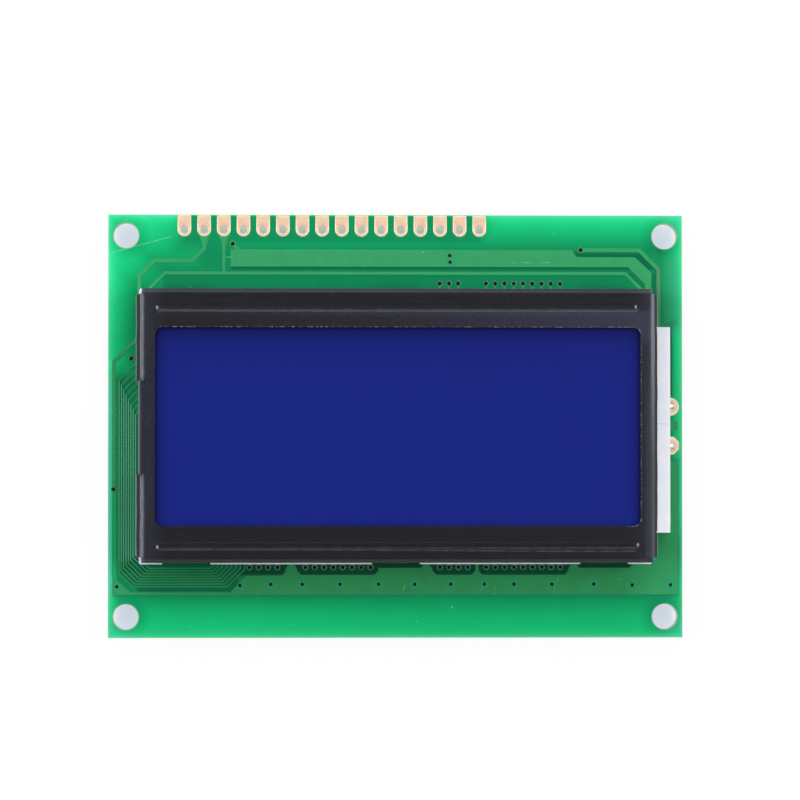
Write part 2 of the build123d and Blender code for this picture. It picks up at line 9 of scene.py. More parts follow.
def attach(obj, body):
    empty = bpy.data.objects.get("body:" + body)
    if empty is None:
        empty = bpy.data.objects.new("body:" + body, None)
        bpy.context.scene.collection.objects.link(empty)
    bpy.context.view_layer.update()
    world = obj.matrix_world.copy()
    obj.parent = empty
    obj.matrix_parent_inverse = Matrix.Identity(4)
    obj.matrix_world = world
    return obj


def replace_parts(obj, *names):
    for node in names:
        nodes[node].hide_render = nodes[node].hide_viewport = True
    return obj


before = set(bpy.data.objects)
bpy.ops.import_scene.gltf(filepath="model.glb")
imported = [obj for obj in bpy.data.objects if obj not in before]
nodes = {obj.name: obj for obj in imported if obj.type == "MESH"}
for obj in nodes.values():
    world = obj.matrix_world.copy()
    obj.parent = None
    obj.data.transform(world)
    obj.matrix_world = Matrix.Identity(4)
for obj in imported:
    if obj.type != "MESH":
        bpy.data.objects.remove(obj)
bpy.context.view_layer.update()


# Laminate board
# Glass-fibre laminate under green solder mask, sawn to a rectangle and drilled. Its green is painted
# with the light that enters its bare edges and spreads inwards until copper, the frame or the case
# stops it, and a thin ring of bare laminate shows at each fixing hole.
board_half = (37.1, 27.3)
fixing_hole = (34.8, 24.6)
mask_greens = [
    (0.0, (7, 64, 48)), (0.22, (8, 100, 69)), (0.33, (9, 117, 77)), (0.46, (9, 139, 87)),
    (0.6, (11, 160, 98)), (0.72, (15, 180, 110)), (0.82, (21, 195, 123)), (0.91, (31, 210, 137)),
    (1.0, (45, 225, 152)),
]
light_stops = [
    (-33.1, 33.3, -17.6, 17.7), (-21.4, 33.1, 20.6, 22.85), (-29.8, 29.8, 19.6, 19.95),
    (-34.5, 36.5, -21.75, -17.0), (31.2, 36.5, -21.75, -4.47), (33.8, 34.3, 11.9, 22.9),
    (-35.8, -32.0, -21.0, 6.0), (33.9, 35.6, -13.9, 12.9), (-27.0, 10.6, 24.0, 27.05),
    (-24.6, -21.0, 20.0, 24.4), (-36.5, -34.5, -21.75, -20.8),
]
# The shaded, rim, corner and right inner colours below are painted shade and painted glow.
shaded_colour = (7, 60, 46)
bare_ring_colour = (150, 176, 136)
rim_glow_colour = (150, 240, 206)
sawn_edge_colour = (176, 204, 138)
scratch_colour = (140, 226, 178)
low_left_colour = (104, 184, 172)
corner_glow_colour = (104, 250, 236)
right_inner_shade_colour = (70, 112, 106)
stub_colour = (58, 158, 104)
neck_colour = (50, 150, 90)
neck_xs = (-24.7, -22.19)
scratch_lines = [
    ((-36.66, 22.38), (-28.29, 24.66)),
    ((1.15, -20.5), (0.85, -21.45)),
    ((-22.4, 21.83), (-21.1, 21.83)),
    ((15.07, 21.18), (19.85, 21.18)),
    ((21.14, -19.2), (20.37, -21.66)),
    ((12.81, -20.75), (12.81, -21.66)),
    ((11.19, -20.9), (10.68, -21.5)),
]
shaded_areas = [
    (0.6, 0.5, [(0, -1, -19.9), (0, 1, 22.7), (-1, 0, 21.5), (1, 0, 34.1), (1, 1, 54.3)]),
    (0.48, 0.5, [(-1, -1, -49.5), (1, 1, 54.3), (0, 1, 20.2), (1, 0, 34.1)]),
    (0.22, 0.3, [(0, 1, 19.8), (0, -1, -17.2), (-1, 0, 30.2), (1, 1, 49.6)]),
    (0.9, 0.5, [(0, 1, -17.0), (0, -1, 19.5), (-1, 0, 20.6), (1, 0, 31.2)]),
    (0.5, 0.4, [(0, 1, -16.6), (0, -1, 21.6), (-1, 0, 35.7), (-1, -1, 54.6), (1, 0, -20.2)]),
    (0.36, 0.3, [(1, 0, -32.0), (-1, 0, 35.9), (1.97, 1, -64.0), (0, -1, 19.0)]),
    (0.55, 0.12, [(1, 0, 35.9), (-1, 0, -35.0), (0, 1, 12.9), (0, -1, -4.0)]),
    (0.55, 0.12, [(1, 0, 35.9), (-1, 0, -35.0), (0, 1, -5.6), (0, -1, 13.9)]),
]
block_strip = [(-1, 0, -35.4), (0, 1, 13.3), (0, -1, 14.3)]
left_strip = [(1, 0, -35.6), (0, 1, 9.0), (0, -1, 25.5)]
beside_pads = [(1, 0, 12.2), (-1, 0, 28.7), (0, -1, -25.0)]
low_left_edge = [(1, 0, -36.4), (0, 1, 7.0), (0, -1, 22.0)]
off_upper_left = [(-1, 1, 40.0)]
right_inner = [(-1, 0, -34.2), (1, 0, 37.4), (0, -1, -11.5), (0, 1, 22.5)]
stub_rows = [(0, 1, 18.2), (0, -1, -17.4), (1, 0, 21.7), (-1, 0, -5.3)]
between_rows = [(1, 0, 11.3), (-1, 0, -8.4)]
stub_first_x, stub_half_pitch = 5.67, 0.6
neck_tip_y, neck_slope = 22.3, 0.3
neck_span = [(0, 1, 24.7), (0, -1, -23.0)]


class Field:
    """A value that changes over a surface, held as a node's output. Arithmetic on it adds the next node
    to the same material."""

    __array_ufunc__ = None

    def __init__(self, socket):
        self.socket = socket

    def __add__(self, other):
        return number("ADD", self, other)

    def __sub__(self, other):
        return number("SUBTRACT", self, other)

    def __rsub__(self, other):
        return number("SUBTRACT", other, self)

    def __mul__(self, other):
        return number("MULTIPLY", self, other)

    def __truediv__(self, other):
        return number("DIVIDE", self, other)

    def __pow__(self, other):
        return number("POWER", self, other)

    def __abs__(self):
        return number("ABSOLUTE", self)

    __radd__, __rmul__ = __add__, __mul__


def srgb(red, green, blue):
    """Linear colour that looks like these sRGB values from 0 to 255."""
    share = np.array([red, green, blue]) / 255
    linear = np.where(share <= 0.04045, share / 12.92, ((share + 0.055) / 1.055) ** 2.4)
    return (*linear.tolist(), 1.0)


def feed(socket, value):
    """Gives a socket a number, a vector or a field."""
    if isinstance(value, Field):
        socket.id_data.links.new(value.socket, socket)
    else:
        socket.default_value = value


def add_node(kind, beside):
    """A new node in the same material as a field."""
    return beside.socket.id_data.nodes.new(kind)


def arithmetic(kind, operation, values):
    """A node that takes these values, some or all of them fields."""
    node = add_node(kind, next(value for value in values if isinstance(value, Field)))
    node.operation = operation
    for socket, value in zip(node.inputs, values):
        feed(socket, value)
    return node


def number(operation, *values, clamp=False):
    """One step of arithmetic on numbers and fields."""
    node = arithmetic("ShaderNodeMath", operation, values)
    node.use_clamp = clamp
    return Field(node.outputs[0])


def vector(operation, *values, output="Vector"):
    """One step of arithmetic on vectors."""
    return Field(arithmetic("ShaderNodeVectorMath", operation, values).outputs[output])


def lowest(first, *others):
    """The least of some numbers and fields."""
    for other in others:
        first = number("MINIMUM", first, other)
    return first


def highest(first, *others):
    """The greatest of some numbers and fields."""
    for other in others:
        first = number("MAXIMUM", first, other)
    return first


def exponent(power):
    """The number e to this power."""
    return number("EXPONENT", power)


def ramp_up(value, start, end):
    """0 before start, 1 past end, and straight between them. End may be the lower of the two."""
    slope = 1 / (end - start)
    return number("MULTIPLY_ADD", value, slope, -start * slope, clamp=True)


def new_finish(name, roughness, metallic=0.0):
    """A new material with its shader and the object coordinates in millimetres."""
    finish = bpy.data.materials.new(name)
    finish.use_nodes = True
    shader = finish.node_tree.nodes["Principled BSDF"]
    shader.inputs["Roughness"].default_value = roughness
    shader.inputs["Metallic"].default_value = metallic
    coordinates = finish.node_tree.nodes.new("ShaderNodeTexCoord").outputs["Object"]
    return finish, shader, vector("MULTIPLY", Field(coordinates), (1000, 1000, 1000))


def axes_of(where):
    """The x, y and z of a place as three fields."""
    node = add_node("ShaderNodeSeparateXYZ", where)
    feed(node.inputs[0], where)
    return [Field(output) for output in node.outputs]


def noise(where, per_mm, detail=3.0, roughness=0.5):
    """Cloudy pattern from 0 to 1 with so many patches in a millimetre."""
    node = add_node("ShaderNodeTexNoise", where)
    feed(node.inputs["Vector"], where)
    node.inputs["Scale"].default_value = per_mm
    node.inputs["Detail"].default_value = detail
    node.inputs["Roughness"].default_value = roughness
    return Field(node.outputs["Fac"])


def fade(factor, stops):
    """Colour that passes through the stops as the factor goes from 0 to 1."""
    node = add_node("ShaderNodeValToRGB", factor)
    feed(node.inputs["Fac"], factor)
    while len(node.color_ramp.elements) < len(stops):
        node.color_ramp.elements.new(0.5)
    for element, (place, colour) in zip(node.color_ramp.elements, stops):
        element.position = place
        element.color = srgb(*colour)
    return Field(node.outputs["Color"])


def mix(factor, low, high):
    """Colour between two colours, each given in sRGB or as a field."""
    node = add_node("ShaderNodeMix", factor)
    node.data_type = "RGBA"
    feed(node.inputs[0], factor)
    for socket, colour in ((node.inputs[6], low), (node.inputs[7], high)):
        feed(socket, srgb(*colour) if isinstance(colour, tuple) else colour)
    return Field(node.outputs[2])


def relief(shader, height, depth_mm):
    """Raises and lowers the surface's shading by a pattern of this depth."""
    bump = add_node("ShaderNodeBump", height)
    bump.inputs["Distance"].default_value = depth_mm / 1000
    feed(bump.inputs["Height"], height)
    feed(shader.inputs["Normal"], Field(bump.outputs["Normal"]))


def in_area(x, y, limits, softness):
    """1 inside a convex area, given by limits a * x + b * y < c, with a soft edge of this width."""
    inside = 1.0
    for a, b, c in limits:
        inside = inside * ramp_up(x * a + y * b, c, c - softness)
    return inside


def flat_distance(where, place, stretch=(1, 1)):
    """Distance in plan from a place, with each axis stretched first."""
    offset = vector("MULTIPLY", vector("SUBTRACT", where, (*place, 0)), (*stretch, 0))
    return vector("LENGTH", offset, output="Value")


def from_box(x, y, box):
    """Distance in millimetres along x or y, whichever is more, from a rectangle of low x, high x, low y and
    high y. It is 0 inside."""
    low_x, high_x, low_y, high_y = box
    return highest(0.0, low_x - x, x - high_x, low_y - y, y - high_y)


def from_edge(x, y):
    """Distance in millimetres inwards from the nearest sawn edge."""
    return highest(lowest(board_half[0] - abs(x), board_half[1] - abs(y)), 0.02)


def light_inside(x, y):
    """Light in the laminate, from 0 to 1: with u the share of the way from the nearest light stop to the
    nearest sawn edge, it is 1.2 u - 0.2 u u, and 0.45 (1 - exp(-5 u) - u) more below the ground plane and
    beside the white block, where it rises at once."""
    inner = lowest(*(from_box(x, y, box) for box in light_stops))
    share = inner / (inner + from_edge(x, y))
    at_once = highest(ramp_up(y, -17.0, -21.0), in_area(x, y, block_strip, 0.4))
    return share * (1.2 - 0.2 * share) + 0.45 * at_once * (1.0 - exponent(-5.0 * share) - share)


def scratched(where):
    """1 on the fine scratches in the solder mask: each is the distance to a line's two ends and between."""
    flat = vector("MULTIPLY", where, (1, 1, 0))
    nearest = 10.0
    for start, end in scratch_lines:
        run = np.subtract(end, start)
        offset = vector("SUBTRACT", flat, (*start, 0))
        share = vector("DOT_PRODUCT", offset, (*(run / run.dot(run)), 0), output="Value")
        share = number("MULTIPLY", share, 1.0, clamp=True)
        away = vector("SUBTRACT", offset, vector("MULTIPLY", share, (*run, 0)))
        nearest = lowest(nearest, vector("LENGTH", away, output="Value"))
    broken = ramp_up(noise(where, 1.1), 0.35, 0.6)
    dust = ramp_up(noise(where, 1.3, 2.0), 0.75, 0.775)
    return highest(ramp_up(nearest, 0.055, 0.02) * broken, dust)


def dress(finish, *node_names):
    """Gives CAD nodes their finish."""
    for node_name in node_names:
        piece = nodes[node_name]
        if not piece.material_slots:
            piece.data.materials.append(finish)
        for material_slot in piece.material_slots:
            material_slot.material = finish


board_finish, shader, where = new_finish("masked_laminate", 0.28)
shader.inputs["Specular IOR Level"].default_value = 0.3
x, y, z = axes_of(where)
on_front = ramp_up(z, 2.9, 3.1)
from_hole = flat_distance(vector("ABSOLUTE", where), fixing_hole)

# The laminate's green is painted with the light in it: a painted glow from the sawn edges, dimmed by painted
# shade in parts and round the fixing holes.
deepest = 0.33 + 0.13 * ramp_up(y, 12.0, 20.0) + 0.08 * ramp_up(y, -17.0, -21.0)
palest = 0.84 + 0.14 * ramp_up(y, -3.0, 17.0) + 0.12 * in_area(x, y, left_strip, 0.6)
below_plane = ramp_up(y, -19.5, -22.5) * (0.04 + 0.07 * ramp_up(x, -22.0, 4.0))
darker = highest(below_plane, 0.07 * ramp_up(x, 32.5, 34.0), 0.05 * ramp_up(x, 0.0, 16.0))
light = deepest + light_inside(x, y) * (palest - darker - deepest)
light = light - 0.14 * ramp_up(from_hole, 3.3, 1.7)
colour = fade(light + 0.06 * noise(where, 0.25) - 0.03, mask_greens)

# Painted shade darkens it between tracks and beside the frame and the white block, and a painted glow makes
# it paler at the rim and in three corners.
for strength, softness, limits in shaded_areas:
    colour = mix(strength * in_area(x, y, limits, softness) * on_front, colour, shaded_colour)
rim_glow_share = 0.26 * (1.0 - in_area(x, y, beside_pads, 0.3))
colour = mix(rim_glow_share * exponent(-3.3 * from_edge(x, y)), colour, rim_glow_colour)
colour = mix(0.42 * in_area(x, y, low_left_edge, 0.15), colour, low_left_colour)
in_corner = ramp_up(abs(x) + abs(y), 60.0, 63.0) * in_area(x, y, off_upper_left, 4.0)
colour = mix(0.12 * in_corner, colour, corner_glow_colour)
colour = mix(0.3 * in_area(x, y, right_inner, 1.4) * on_front, colour, right_inner_shade_colour)

# Short track stubs and necks, scratches, the ring at each fixing hole and the sawn edge come last.
from_stub = number("PINGPONG", x - stub_first_x, stub_half_pitch)
stubs = ramp_up(from_stub, 0.17, 0.1) * in_area(x, y, stub_rows, 0.06)
stubs = 0.8 * stubs * (1.0 - in_area(x, y, between_rows, 0.1))
colour = mix(stubs * on_front, colour, stub_colour)
for place in neck_xs:
    narrows = [(side, -neck_slope, side * place - neck_slope * neck_tip_y) for side in (1, -1)]
    colour = mix(in_area(x, y, narrows + neck_span, 0.06) * on_front, colour, neck_colour)
colour = mix(0.6 * scratched(where), colour, scratch_colour)
colour = mix(ramp_up(from_hole, 1.74, 1.67), colour, bare_ring_colour)
past_edge = highest(abs(x) - board_half[0], abs(y) - board_half[1])
feed(shader.inputs["Base Color"], mix(ramp_up(past_edge, -0.02, -0.01), colour, sawn_edge_colour))
relief(shader, noise(where, 2.2, 4.0), 0.012)
dress(board_finish, "pcb", "lamp_board")


# Etched copper on the front
# Copper foil etched to tracks and a ground plane, all under the same green mask, which looks
# yellower and duller over metal than over the laminate, and bluer where it swelled round a hole.
# Its tone carries painted light, and a painted sheen lies on the tracks beside the frame.
plane_vias = [
    (-20.1, -20.53), (-16.14, -20.39), (-12.08, -20.39), (-7.22, -20.39), (-2.22, -20.39), (2.46, -20.39),
    (7.1, -20.39), (11.44, -20.39), (15.26, -20.39), (20.16, -20.39), (25.59, -20.39), (30.59, -20.51),
    (35.56, -20.51), (-35.95, -20.68), (6.99, 22.07), (7.02, 21.21),
]
frame_sheen_area = [(1, 0, -32.6), (-1, 0, 35.95), (1.97, 1, -64.3), (0, -1, 17.6)]
right_rail = [(-1, 0, -33.6), (0, -1, -12.0)]

copper_finish, shader, where = new_finish("masked_copper", 0.3)
shader.inputs["Specular IOR Level"].default_value = 0.3
x, y, _ = axes_of(where)
# Painted light makes the tone lighter towards the top, at the lower right and on the left.
copper_light = 0.45 + 0.26 * ramp_up(y, 5.0, 18.0) + 0.16 * ramp_up(x, 29.5, 33.0) * ramp_up(y, -12.0, -18.0)
copper_light = copper_light + 0.1 * ramp_up(x, -28.0, -34.0) + 0.2 * noise(where, 0.5) - 0.1
colour = fade(copper_light, [
    (0.0, (32, 106, 66)), (0.3, (38, 130, 77)), (0.45, (45, 140, 83)), (0.6, (50, 150, 92)),
    (0.85, (56, 166, 104)), (1.0, (64, 176, 116)),
])
# A painted sheen lightens the tracks beside the frame.
colour = mix(0.6 * in_area(x, y, frame_sheen_area, 0.4), colour, (96, 172, 140))
colour = mix(0.7 * in_area(x, y, right_rail, 0.3), colour, (84, 134, 94))
from_via = lowest(*(flat_distance(where, place) for place in plane_vias))
swollen = ramp_up(from_via + 1.1 * noise(where, 1.6, 4.0) - 0.55, 0.95, 0.35)
colour = mix(0.6 * swollen, colour, (34, 150, 104))
feed(shader.inputs["Base Color"], mix(0.6 * scratched(where), colour, scratch_colour))
relief(shader, noise(where, 3.0, 4.0), 0.012)


# Through-holes under the mask
# Small plated holes that join the copper of both faces. The mask stands in a low ring round each,
# and the open middle is shown by dark discs and a darker collar of painted shade.
via_height = 3.85
via_pitch = 1.2
lower_via_firsts = {-18.87: 4, -11.67: 8, 5.7: 4, 11.67: 9}
upper_via_firsts = {5.67: 3, 11.66: 9}
single_vias = [(-21.06, 23.56), (23.93, 22.8), (-36.36, -8.15), (-34.09, 8.72)]
row_vias = [
    (first + via_pitch * i, row_y)
    for row_y, firsts in ((-18.2, lower_via_firsts), (18.45, upper_via_firsts))
    for first, count in firsts.items() for i in range(count)
]


def grid_faces(rows, columns, close_rows=False, close_columns=False):
    """Quads of a grid of points stored row by row, joined round in either direction if it is closed."""
    i = np.arange(rows if close_rows else rows - 1)[:, None]
    j = np.arange(columns if close_columns else columns - 1)[None, :]
    below, beside = (i + 1) % rows, (j + 1) % columns
    return np.stack(
        [i * columns + j, i * columns + beside, below * columns + beside, below * columns + j], axis=-1
    ).reshape(-1, 4)


def add_object(name, content):
    """Puts a mesh, a lamp or a camera in the scene."""
    thing = bpy.data.objects.new(name, content)
    bpy.context.scene.collection.objects.link(thing)
    return thing


def new_piece(name, points_mm, faces, finish):
    """A mesh from an array of points in millimetres and an array or list of faces, riding on the module."""
    mesh = bpy.data.meshes.new(name)
    faces = faces.tolist() if isinstance(faces, np.ndarray) else faces
    mesh.from_pydata((np.reshape(points_mm, (-1, 3)) / 1000).tolist(), [], faces)
    shell = bmesh.new()
    shell.from_mesh(mesh)
    bmesh.ops.remove_doubles(shell, verts=shell.verts, dist=1e-7)
    bmesh.ops.delete(shell, geom=[point for point in shell.verts if not point.link_faces], context="VERTS")
    bmesh.ops.recalc_face_normals(shell, faces=shell.faces)
    shell.to_mesh(mesh)
    shell.free()
    mesh.polygons.foreach_set("use_smooth", np.full(len(mesh.polygons), True))
    mesh.materials.append(finish)
    piece = add_object(name, mesh)
    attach(piece, "root")
    return piece


def for_each(faces, count, points_each):
    """The quads of one block of points, once for each of this many equal blocks."""
    starts = np.arange(count)[:, None, None] * points_each
    return (faces[None] + starts).reshape(-1, 4)


def turned_rings(centres, profile, steps=20):
    """Rings turned about a vertical axis: each profile point (radius, height) goes round a full circle at
    each centre. Returns the points, one block per centre, and the faces that join them."""
    angle = np.linspace(0, 2 * np.pi, steps, endpoint=False)
    radius, height = np.transpose(profile)
    ring = np.stack([
        radius[:, None] * np.cos(angle), radius[:, None] * np.sin(angle), height[:, None] + 0 * angle
    ], axis=-1)
    blocks = np.array([(px, py, 0) for px, py in centres])[:, None, None] + ring[None]
    faces = grid_faces(len(profile), steps, close_columns=True)
    return blocks, for_each(faces, len(centres), len(profile) * steps)


def rim_rings(centres, outer, hole):
    """Swollen mask round holes: it rises from the outer radius to a rounded crest and falls to the hole."""
    crest = (outer + hole) / 2
    return turned_rings(centres, [
        (outer, via_height - 0.05), (outer, via_height + 0.008), ((outer + crest) / 2, via_height + 0.026),
        (crest, via_height + 0.03), ((hole + crest) / 2, via_height + 0.024), (hole, via_height + 0.006),
    ])


def clouded(pattern, low, high):
    """Colour that drifts from one tone to another with a pattern."""
    return fade(pattern, [(0.3, low), (0.7, high)])


def clouded_finish(name, roughness, per_mm, low, high, metallic=0.0):
    """A new material whose colour drifts between two tones, with so many patches in a millimetre."""
    finish, shader, where = new_finish(name, roughness, metallic)
    feed(shader.inputs["Base Color"], clouded(noise(where, per_mm), low, high))
    return finish, shader, where


rim_finish, shader, where = clouded_finish("masked_rim", 0.22, 2.5, (48, 118, 76), (88, 160, 112))
relief(shader, noise(where, 6.0), 0.012)
row_points, row_faces = rim_rings(row_vias + single_vias, 0.385, 0.28)
plane_points, plane_faces = rim_rings(plane_vias, 0.29, 0.22)
new_piece("row_hole_rims", row_points, row_faces, rim_finish)
new_piece("plane_hole_rims", plane_points, plane_faces, rim_finish)

# The collar and the middles are dark discs of painted shade where the holes are open.
collar_shade_finish, _, _ = clouded_finish("collar_shade", 0.4, 3.0, (8, 48, 34), (14, 66, 46))
collar = [(0.285, via_height + 0.006), (0.24, via_height + 0.008), (0.2, via_height + 0.003)]
points, faces = turned_rings(row_vias + single_vias, collar)
new_piece("row_hole_collars", points, faces, collar_shade_finish)

hole_shade_finish, shader, _ = clouded_finish("hole_shade", 0.7, 4.0, (2, 26, 16), (4, 42, 28))
shader.inputs["Specular IOR Level"].default_value = 0.05
for name, centres, radius in (
    ("row_hole_middles", row_vias + single_vias, 0.205),
    ("plane_hole_middles", plane_vias, 0.225),
):
    middle = [(radius, via_height + 0.004), (radius * 0.5, via_height + 0.002), (0, via_height + 0.002)]
    points, faces = turned_rings(centres, middle, steps=16)
    new_piece(name, points, faces, hole_shade_finish)


# Plated solder holes
# Sixteen gold-plated holes for a header: a pad on each face, round below the hole and square at
# the board's edge, joined by the plating in the bore.
pad_count = 16
pad_pitch = 2.54
pad_first_x = -27.3
pad_y = 25.38
pad_half = 0.87
pad_top_reach = 1.85
bore_r = 0.525
board_bottom, board_top, plating = 2.2, 3.8, 0.05
lead_places = [(35.7, 2.6), (35.7, -2.55)]

gold_finish, shader, where = new_finish("gold_plating", 0.42, metallic=0.25)
x, y, z = axes_of(where)
pad_face = board_top + plating
grain = noise(where, 1.6, 5.0)
# A painted highlight lies on the pads' rounded top rims and round the lead holes.
rim_highlight = 0.75 * ramp_up(z, pad_face - 0.0005, pad_face - 0.006) * ramp_up(y, 27.0, 26.9)
for place in lead_places:
    from_lead = flat_distance(where, place)
    rim_highlight = highest(rim_highlight, 0.7 * ramp_up(from_lead, 0.78, 0.9) * ramp_up(from_lead, 1.3, 1.2))
colour = clouded(grain, (236, 200, 166), (245, 212, 182))
feed(shader.inputs["Base Color"], mix(rim_highlight, colour, (255, 240, 208)))
feed(shader.inputs["Roughness"], 0.34 + 0.2 * grain)
relief(shader, noise(where, 6.0, 5.0), 0.008)

# A pad's outline is a half circle below the hole and a rectangle above it, as a radius at each angle.
corner = np.arctan2(pad_top_reach, pad_half)
angle = np.unique(np.concatenate([
    np.linspace(np.pi, 2 * np.pi, 25), np.linspace(0, corner, 7), np.linspace(corner, np.pi - corner, 9),
    np.linspace(np.pi - corner, np.pi, 7)[:-1],
]).round(6))[:-1]
to_side = pad_half / np.maximum(np.abs(np.cos(angle)), 1e-6)
to_top = pad_top_reach / np.maximum(np.abs(np.sin(angle)), 1e-6)
outline_r = np.where(angle <= np.pi, np.minimum(to_side, to_top), pad_half)
# Its section runs from the top of the bore over the face to the edge, down, and back on the rear.
section = [
    ("bore", bore_r, board_top), ("bore", bore_r + 0.02, board_top + 0.035),
    ("bore", bore_r + 0.06, pad_face), ("edge", -0.15, pad_face), ("edge", -0.05, pad_face - 0.01),
    ("edge", 0.0, board_top + 0.01), ("edge", 0.0, board_top - 0.01),
    ("bore", bore_r + 0.045, board_top - 0.01), ("bore", bore_r + 0.045, board_bottom + 0.01),
    ("edge", 0.0, board_bottom + 0.01), ("edge", 0.0, board_bottom - 0.01),
    ("edge", -0.05, board_bottom - plating), ("bore", bore_r + 0.06, board_bottom - plating),
    ("bore", bore_r, board_bottom),
]
ring_r = np.array([value + (outline_r if kind == "edge" else 0 * outline_r) for kind, value, _ in section])
ring_z = np.array([height for _, _, height in section])[:, None] + 0 * angle
one_pad = np.stack([ring_r * np.cos(angle), ring_r * np.sin(angle), ring_z], axis=-1)
pad_places = np.array([(pad_first_x + pad_pitch * i, pad_y, 0) for i in range(pad_count)])
points = pad_places[:, None, None] + one_pad[None]
faces = grid_faces(len(section), len(angle), close_rows=True, close_columns=True)
faces = for_each(faces, pad_count, len(section) * len(angle))
pads = new_piece("plated_solder_holes", points, faces, gold_finish)
pads.data.set_sharp_from_angle(angle=np.radians(50))
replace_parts(pads, "header_pads")
dress(gold_finish, "backlight_pads", "contact_fingers")


# Etched copper on the rear
# Tracks under the mask from the solder holes to the chips, with tinned lands under the small parts.
tinned_areas = [
    [(0, 1, -11.0), (0, -1, 13.0), (1, 0, -19.0), (-1, 0, 35.2)],
    [(-1, 0, -29.9), (0, 1, 9.6), (0, -1, 9.6)],
    [(0, 1, 12.6), (0, -1, -10.4), (1, 0, -5.4), (-1, 0, 8.6)],
    [(0, 1, 12.6), (0, -1, -10.4), (1, 0, 11.5), (-1, 0, -8.9)],
]
rear_finish, shader, where = new_finish("rear_copper", 0.36)
x, y, _ = axes_of(where)
tinned = ramp_up(highest(*(in_area(x, y, limits, 0.5) for limits in tinned_areas)), 0.1, 0.2)
colour = clouded(noise(where, 0.6), (40, 120, 76), (62, 152, 98))
feed(shader.inputs["Base Color"], mix(tinned, colour, (196, 198, 202)))
feed(shader.inputs["Metallic"], 0.85 * tinned)
relief(shader, noise(where, 3.0, 4.0), 0.012)
dress(rear_finish, "rear_copper")


# Epoxy drops on the rear
# Black epoxy poured over the bare chips. It sets as a low glossy dome with a slightly uneven rim.
drop_places = {
    "controller_drop": [(-17.5, 2.5, 7.6, 1.6)],
    "driver_drops": [(3.0, -3.0, 6.4, 1.45), (22.0, 2.0, 6.4, 1.45)],
}
drop_rings, drop_steps = 16, 72
epoxy_finish, shader, where = new_finish("black_epoxy", 0.2)
swirl = noise(where, 0.35, 3.0)
feed(shader.inputs["Base Color"], clouded(swirl, (16, 16, 18), (30, 30, 33)))
feed(shader.inputs["Roughness"], 0.1 + 0.25 * swirl)
relief(shader, noise(where, 0.8, 2.0), 0.05)
# A drop is a dome: with s the share of its radius, it falls as 0.78 (1 - s^2) + 0.22 (1 - s^8), and
# two slow waves pull its rim inwards.
for name, drops in drop_places.items():
    angle = np.linspace(0, 2 * np.pi, drop_steps, endpoint=False)[None]
    share = np.linspace(0, 1, drop_rings)[:, None]
    blocks = []
    for place_x, place_y, radius, height in drops:
        uneven = 1 - 0.012 * (1 + np.sin(3 * angle + place_x)) - 0.006 * (1 + np.sin(7 * angle + place_y))
        reach = radius * share * (1 + (uneven - 1) * share)
        fall = height * (0.78 * (1 - share**2) + 0.22 * (1 - share**8))
        blocks.append(np.stack([
            place_x + reach * np.cos(angle), place_y + reach * np.sin(angle), board_bottom - fall + 0 * angle
        ], axis=-1))
    faces = grid_faces(drop_rings, drop_steps, close_columns=True)
    faces = for_each(faces, len(drops), drop_rings * drop_steps)
    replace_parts(new_piece(name + "_poured", np.array(blocks), faces, epoxy_finish), name)


# Chip resistors and capacitors on the rear
# Sintered ceramic bodies between end caps of solder, with their edges rounded as real ones are.
def softened_copy(name, node, finish, width_mm, smooth=True):
    """A copy of a CAD node with its doubles merged and its sharp edges rounded by this width."""
    mesh = nodes[node].data.copy()
    mesh.name = name
    shell = bmesh.new()
    shell.from_mesh(mesh)
    bmesh.ops.remove_doubles(shell, verts=shell.verts, dist=1e-6)
    bmesh.ops.dissolve_limit(shell, angle_limit=0.01, verts=shell.verts, edges=shell.edges)
    bmesh.ops.recalc_face_normals(shell, faces=shell.faces)
    shell.to_mesh(mesh)
    shell.free()
    mesh.materials.clear()
    mesh.materials.append(finish)
    mesh.polygons.foreach_set("use_smooth", np.full(len(mesh.polygons), smooth))
    piece = add_object(name, mesh)
    rounding = piece.modifiers.new("rounding", "BEVEL")
    rounding.width = width_mm / 1000
    rounding.segments = 2 if smooth else 1
    rounding.limit_method = "ANGLE"
    rounding.angle_limit = np.radians(40)
    rounding.harden_normals = smooth
    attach(piece, "root")
    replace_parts(piece, node)


resistor_finish, shader, where = clouded_finish("glazed_resistor", 0.3, 3.0, (18, 18, 20), (36, 36, 40))
relief(shader, noise(where, 9.0), 0.01)
softened_copy("resistor_bodies", "chip_resistors", resistor_finish, 0.05)

capacitor_finish, shader, where = clouded_finish(
    "fired_capacitor", 0.5, 4.0, (150, 116, 78), (176, 142, 102),
)
relief(shader, noise(where, 10.0), 0.01)
softened_copy("capacitor_bodies", "chip_capacitors", capacitor_finish, 0.08)

solder_finish, shader, where = new_finish("solder", 0.28, metallic=0.9)
lumps = noise(where, 3.0, 4.0)
feed(shader.inputs["Base Color"], clouded(lumps, (176, 178, 184), (224, 226, 232)))
feed(shader.inputs["Roughness"], 0.12 + 0.3 * lumps)
relief(shader, noise(where, 5.0, 3.0), 0.03)
softened_copy("soldered_ends", "chip_ends", solder_finish, 0.06)
softened_copy("etched_tracks", "front_copper", copper_finish, 0.045, smooth=False)


# Backlight case
# One white moulding: a foot round its edge, the tray for the optical sheets, and the end block for
# the lamps, with the small radii of its mould on every edge.
case_finish, shader, where = new_finish("moulded_white", 0.42)
_, y, _ = axes_of(where)
seam_y = 0.27
seam = ramp_up(abs(y - seam_y), 0.07, 0.03)
colour = clouded(noise(where, 0.4, 2.0), (239, 242, 255), (245, 247, 255))
feed(shader.inputs["Base Color"], mix(0.5 * seam, colour, (190, 196, 214)))
shader.inputs["Subsurface Weight"].default_value = 0.12
shader.inputs["Subsurface Scale"].default_value = 0.001
relief(shader, noise(where, 3.5, 4.0), 0.012)
softened_copy("moulded_case", "backlight_case", case_finish, 0.1)


